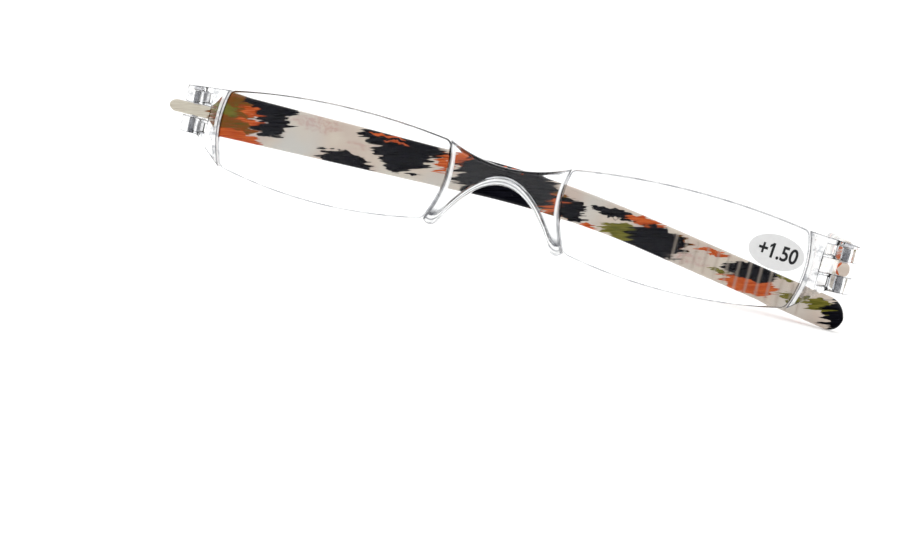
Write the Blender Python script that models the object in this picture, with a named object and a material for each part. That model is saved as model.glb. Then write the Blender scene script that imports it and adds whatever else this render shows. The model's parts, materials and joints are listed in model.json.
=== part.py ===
"""Folding reading glasses: a clear frameless front, and two temples that turn on screws.

+X is the wearer's left, seen at the right from the front. The front faces -Y, and +Z is up.
The right-hand temple stands open and the left-hand one is folded behind the lenses.
"""

import math

import bmesh
import bpy
from mathutils import Matrix, Vector

MM = 0.001

# Lenses
LENS_WIDTH = 44.6 * MM  # between its upper corners
LENS_HEIGHT = 19.4 * MM  # at its middle
LENS_EDGE_SAG = 2.2 * MM  # how far the lower edge bows out
LENS_TOP_SAG = 1.83 * MM  # how far the upper edge bows out
LENS_INNER_RISE = 0.7 * MM  # of the upper inner corner over the upper outer one
LENS_INNER_SAG = 1.6 * MM
LENS_OUTER_SAG = 1.4 * MM
LENS_INNER_SLANT = 2.0 * MM  # the lower inner corner stands this much further out
LENS_OUTER_SLANT = 0.8 * MM
LENS_CORNER = 1.0 * MM
LENS_CENTRE_THICKNESS = 2.3 * MM
LENS_BACK_SETBACK = 2.0 * MM  # back face behind the front's datum curve
LENS_POWER_RADIUS = 327 * MM  # front radius that gives acrylic +1.50 dioptres
FRONT_WRAP_RADIUS = 800 * MM  # the whole front bows round the face on this radius

# Bridge
BRIDGE_WIDTH = 23.6 * MM  # between the lenses' upper corners
BRIDGE_THICKNESS = 2.3 * MM
BRIDGE_TOP_SAG = 2.6 * MM
BRIDGE_CROWN_HEIGHT = 3.5 * MM  # of the web over the nose arch, at its middle
BRIDGE_BAND = 1.5 * MM  # wall of the nose band round the arch
BRIDGE_BAND_DEPTH = 4.3 * MM
BRIDGE_BAND_STEP = 0.25 * MM  # slope of the step down from the band to the web
ARCH_RADIUS = 6.5 * MM  # at the crown of the arch, which is a parabola
FOOT_WIDTH = 2.3 * MM  # of the rounded foot between the arch and each lens
FOOT_BOW = 0.5 * MM

# Endpieces and hinges
ENDPIECE_REACH = 7.6 * MM  # from the lens's upper outer corner out to the hinge axis
ENDPIECE_THICKNESS = 2.5 * MM
HINGE_HEIGHT = 11.7 * MM  # middle of the hinge slot above the ground
HINGE_SETBACK = 6.6 * MM  # hinge axis behind the front's datum
ENDPIECE_BOW = 0.2 * MM
EAR_WALL = 1.1 * MM  # round the screw's head
EAR_HEIGHT = 3.2 * MM
EAR_SWEEP = math.radians(300)
NECK_STEP = 0.15 * MM
WINDOW_WIDTH = 1.9 * MM
WINDOW_HEIGHT = 1.9 * MM
WINDOW_WALL = 0.65 * MM  # between the window and the screw's head
SCREW_RADIUS = 0.7 * MM
SCREW_POINT = 0.2 * MM
SCREW_HEAD_RADIUS = 1.15 * MM
SCREW_HEAD_HEIGHT = 0.6 * MM
SCREW_HEAD_CHAMFER = 0.15 * MM
SCREW_SLOT = 0.3 * MM

# Temples
TEMPLE_LENGTH = 130.5 * MM  # hinge axis to tip
TEMPLE_THICKNESS = 2.3 * MM
TEMPLE_TIP_THICKNESS = 1.8 * MM
TEMPLE_ROOT_HEIGHT = 9.0 * MM
TEMPLE_TIP_HEIGHT = 6.0 * MM
TAPER_END = 85 * MM
TEMPLE_ROOT_RISE = 0.45 * MM  # middle of the band over the middle of the slot
TEMPLE_EDGE_RADIUS = 0.7 * MM
EDGE_SHARE = 0.7  # the edge radius is at most this share of half the height or thickness
BEND_START = 58 * MM
BEND_END = 92 * MM
BEND_ANGLE = math.radians(9.8)
LUG_HEIGHT = 2.4 * MM
LUG_REACH = 5.2 * MM  # beyond the hinge axis
SHOULDER_LENGTH = 3.0 * MM  # over which the lug widens into the band
OPEN_ANGLE = math.radians(92)  # from parallel with the front
INNER_FOLD = math.radians(-0.2)  # the left temple leans this much towards the lenses

# Power label
LABEL_WIDTH = 10.4 * MM
LABEL_HEIGHT = 6.4 * MM
LABEL_THICKNESS = 0.12 * MM
LABEL_INSET = 4.8 * MM  # its middle in from the lens's outer corner
LABEL_RISE = 2.2 * MM  # its middle over the lens's
LABEL_TILT = math.radians(-4.5)

# Clearances
BOND_GAP = 0.1 * MM  # between bonded pieces
RUN_GAP = 0.15 * MM  # round the lug and the screw
SHOULDER_GAP = 1.2 * MM  # between the ears and the temple's shoulder
SLOT_GAP = 0.5 * MM  # between the slot's floor and the start of the shoulder
TEMPLE_GAP = 0.375 * MM  # between the endpiece and the folded temple
LABEL_GAP = 0.03 * MM

# Worked out from the sizes above
LENS_INNER = BRIDGE_WIDTH / 2
LENS_OUTER = LENS_INNER + LENS_WIDTH
LENS_MIDDLE = (LENS_INNER + LENS_OUTER) / 2
LENS_LEVEL = LENS_HEIGHT / 2
LENS_END = LENS_HEIGHT / 2 - LENS_EDGE_SAG  # half the height between corners
HINGE_X = LENS_OUTER + ENDPIECE_REACH
SLOT_HEIGHT = LUG_HEIGHT + 2 * RUN_GAP
EAR_RADIUS = SCREW_HEAD_RADIUS + RUN_GAP + EAR_WALL
LUG_ROOT = EAR_RADIUS + SHOULDER_GAP  # where the lug starts to widen into the band
SHOULDER_END = LUG_ROOT + SHOULDER_LENGTH
SLOT_DEPTH = LUG_ROOT + SLOT_GAP  # from the hinge axis inwards
WINDOW_OFFSET = SCREW_HEAD_RADIUS + RUN_GAP + WINDOW_WALL + WINDOW_WIDTH / 2
EAR_TOP = SLOT_HEIGHT / 2 + EAR_HEIGHT
FRONT_Y = -(HINGE_SETBACK + TEMPLE_LENGTH * math.sin(OPEN_ANGLE)) / 2

EDGE_STEPS = 16
CORNER_STEPS = 4
LENS_RINGS = 5
LABEL_RINGS = 2
BRIDGE_STEPS = 52
ARCH_SHARE = 0.84  # of the way from the crown to a lens that is arch and not foot
WEB_STEPS = 7
TEMPLE_STEPS = 44
SHOULDER_STEPS = 8
TIP_STEPS = 10
TIP_START = 0.4  # the last section stands this share of a step in from the very tip
EAR_STEPS = 24
ROUND_STEPS = 28
PAST = 10 * MM  # how far a cutter runs past what it cuts


def clear_objects():
    for thing in list(bpy.data.objects):
        bpy.data.objects.remove(thing, do_unlink=True)


def plastic(name, colour, roughness, transmission=0.0, metallic=0.0):
    made = bpy.data.materials.new(name)
    made.use_nodes = True
    shader = made.node_tree.nodes["Principled BSDF"]
    shader.inputs["Base Color"].default_value = (*colour, 1)
    shader.inputs["Roughness"].default_value = roughness
    shader.inputs["Transmission Weight"].default_value = transmission
    shader.inputs["Metallic"].default_value = metallic
    return made


def piece(name, points, faces, material, parent, place=None):
    """One closed mesh as an object, with its faces pointing out."""
    mesh = bpy.data.meshes.new(name)
    mesh.from_pydata(points, [], faces)
    work = bmesh.new()
    work.from_mesh(mesh)
    bmesh.ops.recalc_face_normals(work, faces=work.faces)
    work.to_mesh(mesh)
    work.free()
    if material:
        mesh.materials.append(material)
    made = bpy.data.objects.new(name, mesh)
    bpy.context.scene.collection.objects.link(made)
    made.parent = parent
    made.matrix_local = place or Matrix()
    return made


def empty(name, parent=None, place=None):
    made = bpy.data.objects.new(name, None)
    bpy.context.scene.collection.objects.link(made)
    made.parent = parent
    made.matrix_local = place or Matrix()
    return made


def loft(rings, ladder=False):
    """Points and faces of a closed body through rings with equal counts of points.

    A ladder's end caps join each point to the one across from it, so that they can be curved.
    """
    count = len(rings[0])
    points = [p for ring in rings for p in ring]
    faces = []
    for base in (0, (len(rings) - 1) * count):
        if ladder:
            for i in range(count // 2 - 1):
                faces.append((base + i, base + i + 1, base + count - 2 - i, base + count - 1 - i))
        else:
            faces.append(tuple(base + i for i in range(count)))
    for k in range(len(rings) - 1):
        for i in range(count):
            j = (i + 1) % count
            faces.append((k * count + i, k * count + j, (k + 1) * count + j, (k + 1) * count + i))
    return points, faces


def prism(outline, low, high, upright=True):
    """An outline carried along Z, or along Y if it isn't upright."""
    if upright:
        return loft([[(x, y, level) for x, y in outline] for level in (low, high)])
    return loft([[(x, level, z) for x, z in outline] for level in (low, high)])


def cylinder(radius, low, high):
    turns = [2 * math.pi * i / ROUND_STEPS for i in range(ROUND_STEPS)]
    return prism([(radius * math.cos(t), radius * math.sin(t)) for t in turns], low, high)


def box(low, high):
    (x0, y0, z0), (x1, y1, z1) = low, high
    return prism([(x0, y0), (x1, y0), (x1, y1), (x0, y1)], z0, z1)


def combine(target, cutter, operation="DIFFERENCE"):
    """Cuts the target with another object, which stays hidden as its cutter."""
    cutter.hide_render = True
    cutter.display_type = "WIRE"
    change = target.modifiers.new(cutter.name, "BOOLEAN")
    change.operation = operation
    change.solver = "EXACT"
    change.object = cutter


def bowed(start, end, sag, steps):
    """Points from start to end that bow out to the right of the way by sag, without the end."""
    way = Vector(end) - Vector(start)
    side = Vector((way.y, -way.x)).normalized()
    return [
        Vector(start) + way * (i / steps) + side * (4 * sag * (i / steps) * (1 - i / steps))
        for i in range(steps)
    ]


def round_corners(edges, radius, steps):
    """Joins the edges' points into one outline and rounds each corner between them."""
    outline = []
    for edge, after in zip(edges, edges[1:] + edges[:1]):
        start, corner = edge[0], after[0]
        kept = [
            p for p in edge if (p - start).length > radius and (p - corner).length > radius
        ]
        outline += kept
        before = corner + (edge[-1] - corner).normalized() * radius
        behind = corner + (after[1] - corner).normalized() * radius
        for i in range(steps + 1):
            t = i / steps
            outline.append(before * (1 - t) ** 2 + corner * (2 * t * (1 - t)) + behind * t**2)
    return outline


def wrap(x):
    """How far the front bows back at x."""
    return x * x / (2 * FRONT_WRAP_RADIUS)


def lens_corners():
    """Lower inner, lower outer, upper outer and upper inner, on the +X side."""
    low, high = LENS_LEVEL - LENS_END, LENS_LEVEL + LENS_END
    return (
        Vector((LENS_INNER + LENS_INNER_SLANT, low)),
        Vector((LENS_OUTER - LENS_OUTER_SLANT, low)),
        Vector((LENS_OUTER, high)),
        Vector((LENS_INNER, high + LENS_INNER_RISE)),
    )


def lens_inner_edge(share, gap=0.0):
    """A point of the lens's inner edge, share of the way up, moved off it by gap."""
    low, _, _, high = lens_corners()
    x = low.x + (high.x - low.x) * share - 4 * LENS_INNER_SAG * share * (1 - share) - gap
    return Vector((x, low.y + (high.y - low.y) * share))


def lens_outer_edge(share, gap=0.0):
    _, low, high, _ = lens_corners()
    x = low.x + (high.x - low.x) * share + 4 * LENS_OUTER_SAG * share * (1 - share) + gap
    return Vector((x, low.y + (high.y - low.y) * share))


def lens_outline():
    inner_low, outer_low, outer_high, inner_high = lens_corners()
    edges = [
        bowed(inner_low, outer_low, LENS_EDGE_SAG, EDGE_STEPS),
        [lens_outer_edge(i / EDGE_STEPS) for i in range(EDGE_STEPS)],
        bowed(outer_high, inner_high, LENS_TOP_SAG, EDGE_STEPS),
        [lens_inner_edge(1 - i / EDGE_STEPS) for i in range(EDGE_STEPS)],
    ]
    return round_corners(edges, LENS_CORNER, CORNER_STEPS)


def lens_back(x):
    return wrap(x) + LENS_BACK_SETBACK


def lens_front(x, z):
    away = (x - LENS_MIDDLE) ** 2 + (z - LENS_LEVEL) ** 2
    return lens_back(x) - LENS_CENTRE_THICKNESS + away / (2 * LENS_POWER_RADIUS)


def dished(outline, middle, front, back, rings):
    """A thin body under an outline in XZ, between a front and a back that are functions of x and z."""
    count = len(outline)
    points, faces = [], []
    for surface in (front, back):
        points.append((middle.x, surface(*middle), middle.y))
        for ring in range(1, rings + 1):
            for edge in outline:
                at = middle + (edge - middle) * (ring / rings)
                points.append((at.x, surface(*at), at.y))
    side = 1 + rings * count
    for base in (0, side):
        for i in range(count):
            j = (i + 1) % count
            faces.append((base, base + 1 + i, base + 1 + j))
            for ring in range(rings - 1):
                here = base + 1 + ring * count
                faces.append((here + i, here + count + i, here + count + j, here + j))
    rim = 1 + (rings - 1) * count
    for i in range(count):
        j = (i + 1) % count
        faces.append((rim + i, rim + j, side + rim + j, side + rim + i))
    return points, faces


def mirrored(points, sign):
    return [(sign * x, y, z) for x, y, z in points]


def make_lens(name, sign, material, root):
    middle = Vector((LENS_MIDDLE, LENS_LEVEL))
    points, faces = dished(
        lens_outline(), middle, lens_front, lambda x, z: lens_back(x), LENS_RINGS
    )
    piece(name, mirrored(points, sign), faces, material, root)


def make_label(material, root):
    middle = Vector((LENS_OUTER - LABEL_INSET, LENS_LEVEL + LABEL_RISE))
    tilt = Matrix.Rotation(LABEL_TILT, 2)
    turns = [2 * math.pi * i / (4 * EDGE_STEPS) for i in range(4 * EDGE_STEPS)]
    outline = [
        middle + tilt @ Vector((LABEL_WIDTH / 2 * math.cos(t), LABEL_HEIGHT / 2 * math.sin(t)))
        for t in turns
    ]
    points, faces = dished(
        outline,
        middle,
        lambda x, z: lens_front(x, z) - LABEL_GAP - LABEL_THICKNESS,
        lambda x, z: lens_front(x, z) - LABEL_GAP,
        LABEL_RINGS,
    )
    piece("power_label", points, faces, material, root)


def arch_edge(share):
    """The nose arch's edge from its left foot over the crown to its right foot, and its slope."""
    foot = lens_inner_edge(0, BOND_GAP)
    top = lens_inner_edge(1).y - BRIDGE_TOP_SAG - BRIDGE_CROWN_HEIGHT
    toe_x = foot.x - FOOT_WIDTH
    toe = Vector((toe_x, top - toe_x**2 / (2 * ARCH_RADIUS)))
    side = abs(2 * share - 1)
    if side < ARCH_SHARE:
        x = toe.x * side / ARCH_SHARE
        at, slope = Vector((x, top - x * x / (2 * ARCH_RADIUS))), x / ARCH_RADIUS
    else:
        along = (side - ARCH_SHARE) / (1 - ARCH_SHARE)
        at, slope = toe.lerp(foot, along), toe.x / ARCH_RADIUS * (1 - along)
        at.y -= FOOT_BOW * math.sin(math.pi * along)
    return Vector((math.copysign(at.x, share - 0.5), at.y)), slope


def bridge_point(share, up):
    """A point of the web between the arch, up = 0, and the top edge, up = 1."""
    high = lens_inner_edge(1, BOND_GAP)
    top_x = high.x * (2 * share - 1)
    bow = 1 - (2 * share - 1) ** 2
    top = Vector((top_x, high.y - BRIDGE_TOP_SAG * bow))
    at = arch_edge(share)[0].lerp(top, up)
    chord = lens_inner_edge(0, BOND_GAP).lerp(high, up)
    at.x += (lens_inner_edge(up, BOND_GAP).x - chord.x) * (2 * share - 1)
    return at


def make_bridge(material, root):
    """A web between the lenses with a deeper band round the nose arch."""
    rings = []
    for step in range(BRIDGE_STEPS + 1):
        share = step / BRIDGE_STEPS
        height = (bridge_point(share, 1) - bridge_point(share, 0)).length
        stretch = math.hypot(1, arch_edge(share)[1]) / height
        band, step_end = BRIDGE_BAND * stretch, (BRIDGE_BAND + BRIDGE_BAND_STEP) * stretch
        ups = [0.0, band, step_end]
        ups += [step_end + (1 - step_end) * i / WEB_STEPS for i in range(1, WEB_STEPS + 1)]
        section = [(up, 0.0) for up in ups]
        section += [(up, BRIDGE_THICKNESS) for up in reversed(ups[2:])]
        section += [(up, BRIDGE_BAND_DEPTH) for up in reversed(ups[:2])]
        ring = []
        for up, depth in section:
            at = bridge_point(share, up)
            ring.append((at.x, wrap(at.x) + depth, at.y))
        rings.append(ring)
    points, faces = loft(rings, ladder=True)
    piece("bridge", points, faces, material, root)


def endpiece_plan():
    """Seen from above: back from the lens to an ear round the hinge axis."""
    start, edge = LENS_OUTER - LENS_OUTER_SLANT, LENS_OUTER + LENS_OUTER_SAG
    ear_front = HINGE_SETBACK - EAR_RADIUS
    neck = HINGE_X - SLOT_DEPTH
    temple_face = HINGE_SETBACK - TEMPLE_THICKNESS / 2 - TEMPLE_GAP
    front = [
        Vector((start, wrap(start))),
        Vector((edge, wrap(edge) + ENDPIECE_BOW / 2)),
        Vector(((start + HINGE_X) / 2, (wrap(start) + ear_front) / 2 - ENDPIECE_BOW)),
        Vector((HINGE_X - EAR_RADIUS, ear_front - ENDPIECE_BOW)),
    ]
    ear = []
    for i in range(EAR_STEPS + 1):
        turn = EAR_SWEEP * i / EAR_STEPS - math.pi / 2
        ear.append(
            Vector(
                (HINGE_X + EAR_RADIUS * math.cos(turn), HINGE_SETBACK + EAR_RADIUS * math.sin(turn))
            )
        )
    back = [
        Vector((neck + 4 * NECK_STEP, temple_face)),
        Vector((neck, temple_face - NECK_STEP)),
        Vector((start, wrap(start) + ENDPIECE_THICKNESS)),
    ]
    return front + ear + back


def endpiece_face():
    """Seen from the front: the lens's outer edge, the ears, and a slanting lower edge."""
    edge = [lens_outer_edge(1 - i / EDGE_STEPS, BOND_GAP) for i in range(EDGE_STEPS + 1)]
    ear_end = HINGE_X + EAR_RADIUS + BOND_GAP
    ear_low, ear_high = HINGE_HEIGHT - EAR_TOP, HINGE_HEIGHT + EAR_TOP
    ears = [
        Vector((HINGE_X - WINDOW_OFFSET + WINDOW_WIDTH / 2, ear_low)),
        Vector((ear_end, ear_low)),
        Vector((ear_end, ear_high)),
    ]
    return edge + ears


def make_endpiece(name, sign, material, root):
    """The hinge end of the front: two ears with a slot, a screw hole and a window in each."""
    plan = [(sign * p.x, p.y) for p in endpiece_plan()]
    face = [(sign * p.x, p.y) for p in endpiece_face()]
    made = piece(name, *prism(plan, -PAST, LENS_HEIGHT + PAST), material, root)
    shape = piece(name + "_shape", *prism(face, -PAST, HINGE_SETBACK + PAST, upright=False), None, root)
    combine(made, shape, "INTERSECT")

    axis = Matrix.Translation((sign * HINGE_X, HINGE_SETBACK, HINGE_HEIGHT))
    half = SLOT_HEIGHT / 2
    ends = sorted((-sign * SLOT_DEPTH, sign * PAST))
    slot = box((ends[0], -PAST, -half), (ends[1], PAST, half))
    combine(made, piece(name + "_slot", *slot, None, root, axis))

    hole = cylinder(SCREW_RADIUS + RUN_GAP, -PAST, PAST)
    combine(made, piece(name + "_hole", *hole, None, root, axis))
    seat = cylinder(SCREW_HEAD_RADIUS + RUN_GAP, EAR_TOP - SCREW_HEAD_HEIGHT - RUN_GAP, PAST)
    combine(made, piece(name + "_seat", *seat, None, root, axis))

    for side in (-1, 1):
        level = side * (SLOT_HEIGHT + EAR_HEIGHT) / 2
        middle = -sign * WINDOW_OFFSET
        window = box(
            (middle - WINDOW_WIDTH / 2, -PAST, level - WINDOW_HEIGHT / 2),
            (middle + WINDOW_WIDTH / 2, PAST, level + WINDOW_HEIGHT / 2),
        )
        label = "_upper_window" if side > 0 else "_lower_window"
        combine(made, piece(name + label, *window, None, root, axis))


def temple_middle(reach):
    """Height of the band's middle over the slot's, at a distance from the hinge axis."""
    slope = math.tan(BEND_ANGLE)
    if reach <= BEND_START:
        return TEMPLE_ROOT_RISE
    span = BEND_END - BEND_START
    bent = min(reach, BEND_END) - BEND_START
    return TEMPLE_ROOT_RISE - slope * bent**2 / (2 * span) - slope * max(0, reach - BEND_END)


def temple_half_height(reach):
    share = min(1, max(0, reach) / TAPER_END)
    return (TEMPLE_ROOT_HEIGHT + (TEMPLE_TIP_HEIGHT - TEMPLE_ROOT_HEIGHT) * share) / 2


def temple_thickness(reach):
    share = max(0, reach) / TEMPLE_LENGTH
    return TEMPLE_THICKNESS + (TEMPLE_TIP_THICKNESS - TEMPLE_THICKNESS) * share


def smooth(share):
    share = min(1, max(0, share))
    return share * share * (3 - 2 * share)


def temple_ring(reach):
    """The temple's rounded rectangular section at a distance along it."""
    band = smooth((reach - LUG_ROOT) / (SHOULDER_END - LUG_ROOT))
    half = LUG_HEIGHT / 2 + (temple_half_height(reach) - LUG_HEIGHT / 2) * band
    middle = temple_middle(reach) * band
    thick = temple_thickness(reach) / 2
    tip_radius = TEMPLE_TIP_HEIGHT / 2
    over = reach - (TEMPLE_LENGTH - tip_radius)
    if over > 0:
        half *= math.sqrt(max(0, 1 - (over / tip_radius) ** 2))
    lug_over = -reach - (LUG_REACH - LUG_HEIGHT / 2)
    if lug_over > 0:
        half *= math.sqrt(max(0, 1 - (lug_over / (LUG_HEIGHT / 2)) ** 2))
    radius = min(TEMPLE_EDGE_RADIUS, EDGE_SHARE * half, EDGE_SHARE * thick)
    ring = []
    for corner in range(4):
        across = 1 if corner in (0, 3) else -1
        up = 1 if corner < 2 else -1
        for i in range(CORNER_STEPS):
            turn = math.pi / 2 * (corner + i / (CORNER_STEPS - 1))
            ring.append(
                (
                    reach,
                    across * (thick - radius) + radius * math.cos(turn),
                    middle + up * (half - radius) + radius * math.sin(turn),
                )
            )
    return ring


def temple_reaches():
    """Distances of the sections, closer at the lug's end, the shoulder and the tip."""
    lug_radius, tip_radius = LUG_HEIGHT / 2, TEMPLE_TIP_HEIGHT / 2
    ends = [math.pi / 2 * (i + TIP_START) / TIP_STEPS for i in range(TIP_STEPS)]
    lug = [-LUG_REACH + lug_radius * (1 - math.sin(t)) for t in reversed(ends)]
    shoulder = [
        LUG_ROOT + SHOULDER_LENGTH * i / SHOULDER_STEPS for i in range(SHOULDER_STEPS + 1)
    ]
    straight = TEMPLE_LENGTH - tip_radius - SHOULDER_END
    band = [SHOULDER_END + straight * i / TEMPLE_STEPS for i in range(1, TEMPLE_STEPS)]
    tip = [TEMPLE_LENGTH - tip_radius * (1 - math.sin(t)) for t in ends]
    return lug + shoulder + band + tip


def make_temple(name, sign, angle, material, root):
    """A printed temple along local +X, turned by its angle from parallel with the front."""
    turned = Matrix.Rotation(angle if sign < 0 else math.pi - angle, 4, "Z")
    axis = Matrix.Translation((sign * HINGE_X, HINGE_SETBACK, HINGE_HEIGHT)) @ turned
    points, faces = loft([temple_ring(reach) for reach in temple_reaches()])
    made = piece(name, points, faces, material, root, axis)
    hole = cylinder(SCREW_RADIUS + RUN_GAP, -PAST, PAST)
    combine(made, piece(name + "_hole", *hole, None, root, axis))


def make_screw(name, sign, material, root):
    """A slotted screw down through both ears, its head flush with the upper one."""
    axis = Matrix.Translation((sign * HINGE_X, HINGE_SETBACK, HINGE_HEIGHT))
    under_head = EAR_TOP - SCREW_HEAD_HEIGHT
    profile = (
        (SCREW_RADIUS - SCREW_POINT, -EAR_TOP),
        (SCREW_RADIUS, -EAR_TOP + SCREW_POINT),
        (SCREW_RADIUS, under_head),
        (SCREW_HEAD_RADIUS, under_head),
        (SCREW_HEAD_RADIUS, EAR_TOP - SCREW_HEAD_CHAMFER),
        (SCREW_HEAD_RADIUS - SCREW_HEAD_CHAMFER, EAR_TOP),
    )
    rings = []
    for radius, level in profile:
        turns = [2 * math.pi * i / ROUND_STEPS for i in range(ROUND_STEPS)]
        rings.append([(radius * math.cos(t), radius * math.sin(t), level) for t in turns])
    made = piece(name, *loft(rings), material, root, axis)
    floor = EAR_TOP - SCREW_SLOT
    groove = box((-PAST, -SCREW_SLOT / 2, floor), (PAST, SCREW_SLOT / 2, PAST))
    combine(made, piece(name + "_groove", *groove, None, root, axis))


def main():
    clear_objects()
    root = empty("glasses", place=Matrix.Translation((0, FRONT_Y, 0)))
    clear = plastic("clear_acrylic", (0.96, 0.97, 0.97), 0.05, transmission=0.9)
    printed = plastic("printed_plastic", (0.78, 0.7, 0.6), 0.2)
    steel = plastic("screw_steel", (0.6, 0.6, 0.62), 0.3, metallic=1.0)
    paper = plastic("label_paper", (0.9, 0.9, 0.92), 0.5)

    make_bridge(clear, root)
    for side, sign, angle in (("left", -1, INNER_FOLD), ("right", 1, OPEN_ANGLE)):
        make_lens(side + "_lens", sign, clear, root)
        make_endpiece(side + "_endpiece", sign, clear, root)
        make_temple(side + "_temple", sign, angle, printed, root)
        make_screw(side + "_hinge_screw", sign, steel, root)
    make_label(paper, root)


main()
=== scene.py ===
"""The looks of the folding reading glasses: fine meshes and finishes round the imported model.

+X is the wearer's left, the front faces -Y, and the glasses stand on z = 0.
"""

import json
import math

import bmesh
import bpy
from mathutils import Matrix, Vector


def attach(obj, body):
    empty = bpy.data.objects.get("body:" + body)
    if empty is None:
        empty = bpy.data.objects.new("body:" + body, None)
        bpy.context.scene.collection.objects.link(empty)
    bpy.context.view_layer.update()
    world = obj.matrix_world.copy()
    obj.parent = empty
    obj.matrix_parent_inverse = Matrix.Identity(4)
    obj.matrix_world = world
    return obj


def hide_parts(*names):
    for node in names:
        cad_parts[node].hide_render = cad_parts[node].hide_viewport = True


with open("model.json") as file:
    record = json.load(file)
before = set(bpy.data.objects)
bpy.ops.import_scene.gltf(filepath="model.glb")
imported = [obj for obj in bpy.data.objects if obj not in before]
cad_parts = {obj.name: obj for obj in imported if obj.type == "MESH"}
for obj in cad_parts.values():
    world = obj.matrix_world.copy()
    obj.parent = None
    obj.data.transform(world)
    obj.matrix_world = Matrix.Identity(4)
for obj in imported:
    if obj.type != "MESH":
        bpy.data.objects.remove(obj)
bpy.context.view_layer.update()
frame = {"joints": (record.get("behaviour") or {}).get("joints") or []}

MM = 0.001

# The front: the same outlines as the CAD lenses, bridge and endpieces
LENS_INNER = 11.8 * MM
LENS_OUTER = 56.4 * MM
LENS_HEIGHT = 19.4 * MM
LENS_EDGE_SAG = 2.2 * MM
LENS_TOP_SAG = 1.83 * MM
LENS_INNER_RISE = 0.7 * MM
LENS_INNER_SAG = 1.6 * MM
LENS_OUTER_SAG = 1.4 * MM
LENS_INNER_SLANT = 2.0 * MM
LENS_OUTER_SLANT = 0.8 * MM
LENS_CORNER = 1.0 * MM
LENS_CENTRE_THICKNESS = 2.3 * MM
LENS_BACK_SETBACK = 2.0 * MM
LENS_POWER_RADIUS = 327 * MM
LENS_FILLET = 0.42 * MM
LENS_RIM_TILT = (0.15, 0.94)  # depth share of the normals of faces that are drawn dark as the lens's rim, a painted shade
FRONT_WRAP_RADIUS = 800 * MM
BRIDGE_THICKNESS = 2.3 * MM
BRIDGE_TOP_SAG = 2.6 * MM
BRIDGE_CROWN_HEIGHT = 3.5 * MM
BRIDGE_BAND = 1.5 * MM
BRIDGE_BAND_DEPTH = 4.3 * MM
BRIDGE_BAND_STEP = 0.25 * MM
WEB_RECESS = 0.3 * MM  # of the web's front behind the band's
BRIDGE_FILLET = 0.45 * MM
END_FILLET = 0.3 * MM
SEAM_WIDTH = 0.45 * MM  # of the pale bond at each end of the bridge
BOND_AND_HIGHLIGHT_SHARE = 0.85  # how pale the bridge's seams and its painted highlight along the band are
PAINTED_HIGHLIGHT_SPAN = (0.2, 0.85)  # the part of the band that is drawn pale as a painted highlight, in shares of its height
BRIDGE_SHADE_LINES = (  # height over the arch and half width of each dark line of painted shade
    (0.06 * BRIDGE_BAND, 0.12 * MM),
    (0.5 * BRIDGE_BAND, 0.04 * MM),
    (BRIDGE_BAND + BRIDGE_BAND_STEP / 2, 0.24 * MM),
)
TOP_LINE = (0.1 * MM, 0.34 * MM)  # depth under the top edge and half width of the last painted shade line
ARCH_RADIUS = 6.5 * MM
ARCH_SHARE = 0.84
FOOT_WIDTH = 2.3 * MM
FOOT_BOW = 0.5 * MM
ENDPIECE_THICKNESS = 2.5 * MM
ENDPIECE_BOW = 0.2 * MM
ENDPIECE_FILLET = 0.2 * MM
ENDPIECE_SEAM = (0.85, 0.95)  # where its pale bond ends beyond the lens, in millimetres
ENDPIECE_PALE = 0.8  # how pale it is there
NARROW_SHARE = 0.8  # a face is narrow under this share of the fillet's width
WALL_TILT = 0.5  # depth share of the normals of a window's walls, at most
EDGE_SLACK = 0.05 * MM
EAR_RADIUS = 2.4 * MM
EAR_HEIGHT = 3.2 * MM
EAR_SWEEP = math.radians(300)
NECK_STEP = 0.15 * MM
SLOT_DEPTH = 4.1 * MM
SLOT_HEIGHT = 2.7 * MM
WINDOW_WIDTH = 1.9 * MM
WINDOW_HEIGHT = 1.9 * MM
WINDOW_OFFSET = 2.9 * MM
BOND_GAP = 0.1 * MM
RUN_GAP = 0.15 * MM
TEMPLE_GAP = 0.375 * MM  # between an endpiece and the folded temple
HINGE_SETBACK = 6.6 * MM  # of the hinge axes behind the front

# Screws
SCREW_RADIUS = 0.7 * MM
SCREW_HEAD_RADIUS = 1.15 * MM
SCREW_HEAD_HEIGHT = 0.6 * MM
SCREW_HEAD_CHAMFER = 0.15 * MM
SCREW_HEAD_EDGE = 0.05 * MM
SCREW_SLOT = 0.3 * MM
SCREW_POINT = 0.2 * MM
THREAD_PITCH = 0.35 * MM
THREAD_DEPTH = 0.16 * MM
THREAD_RUNOUT = 0.15 * MM  # under the head
HEAD_RISE = 0.02 * MM  # of the head's lower edge over the shank's end

# Temples
TEMPLE_LENGTH = 130.5 * MM
TEMPLE_THICKNESS = 2.3 * MM
TEMPLE_TIP_THICKNESS = 1.8 * MM
TEMPLE_ROOT_HEIGHT = 9.0 * MM
TEMPLE_TIP_HEIGHT = 6.0 * MM
TAPER_END = 85 * MM
TEMPLE_ROOT_RISE = 0.45 * MM
TEMPLE_EDGE_RADIUS = 0.7 * MM
EDGE_SHARE = 0.7  # the edge radius is at most this share of half the height or thickness
BEND_START = 58 * MM
BEND_END = 92 * MM
BEND_SLOPE = math.tan(math.radians(9.8))
LUG_HEIGHT = 2.4 * MM
LUG_REACH = 5.2 * MM
LUG_ROOT = 3.6 * MM
SHOULDER_LENGTH = 3.0 * MM
INNER_FOLD = math.radians(-0.2)
OPEN_ANGLE = math.radians(92)
RIB_STARTS = {"left": 96 * MM, "right": 87 * MM}
RIB_END = 123 * MM
RIB_PITCH = 2.05 * MM
RIB_GROOVE = 0.95 * MM
RIB_DEPTH = 0.3 * MM

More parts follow.
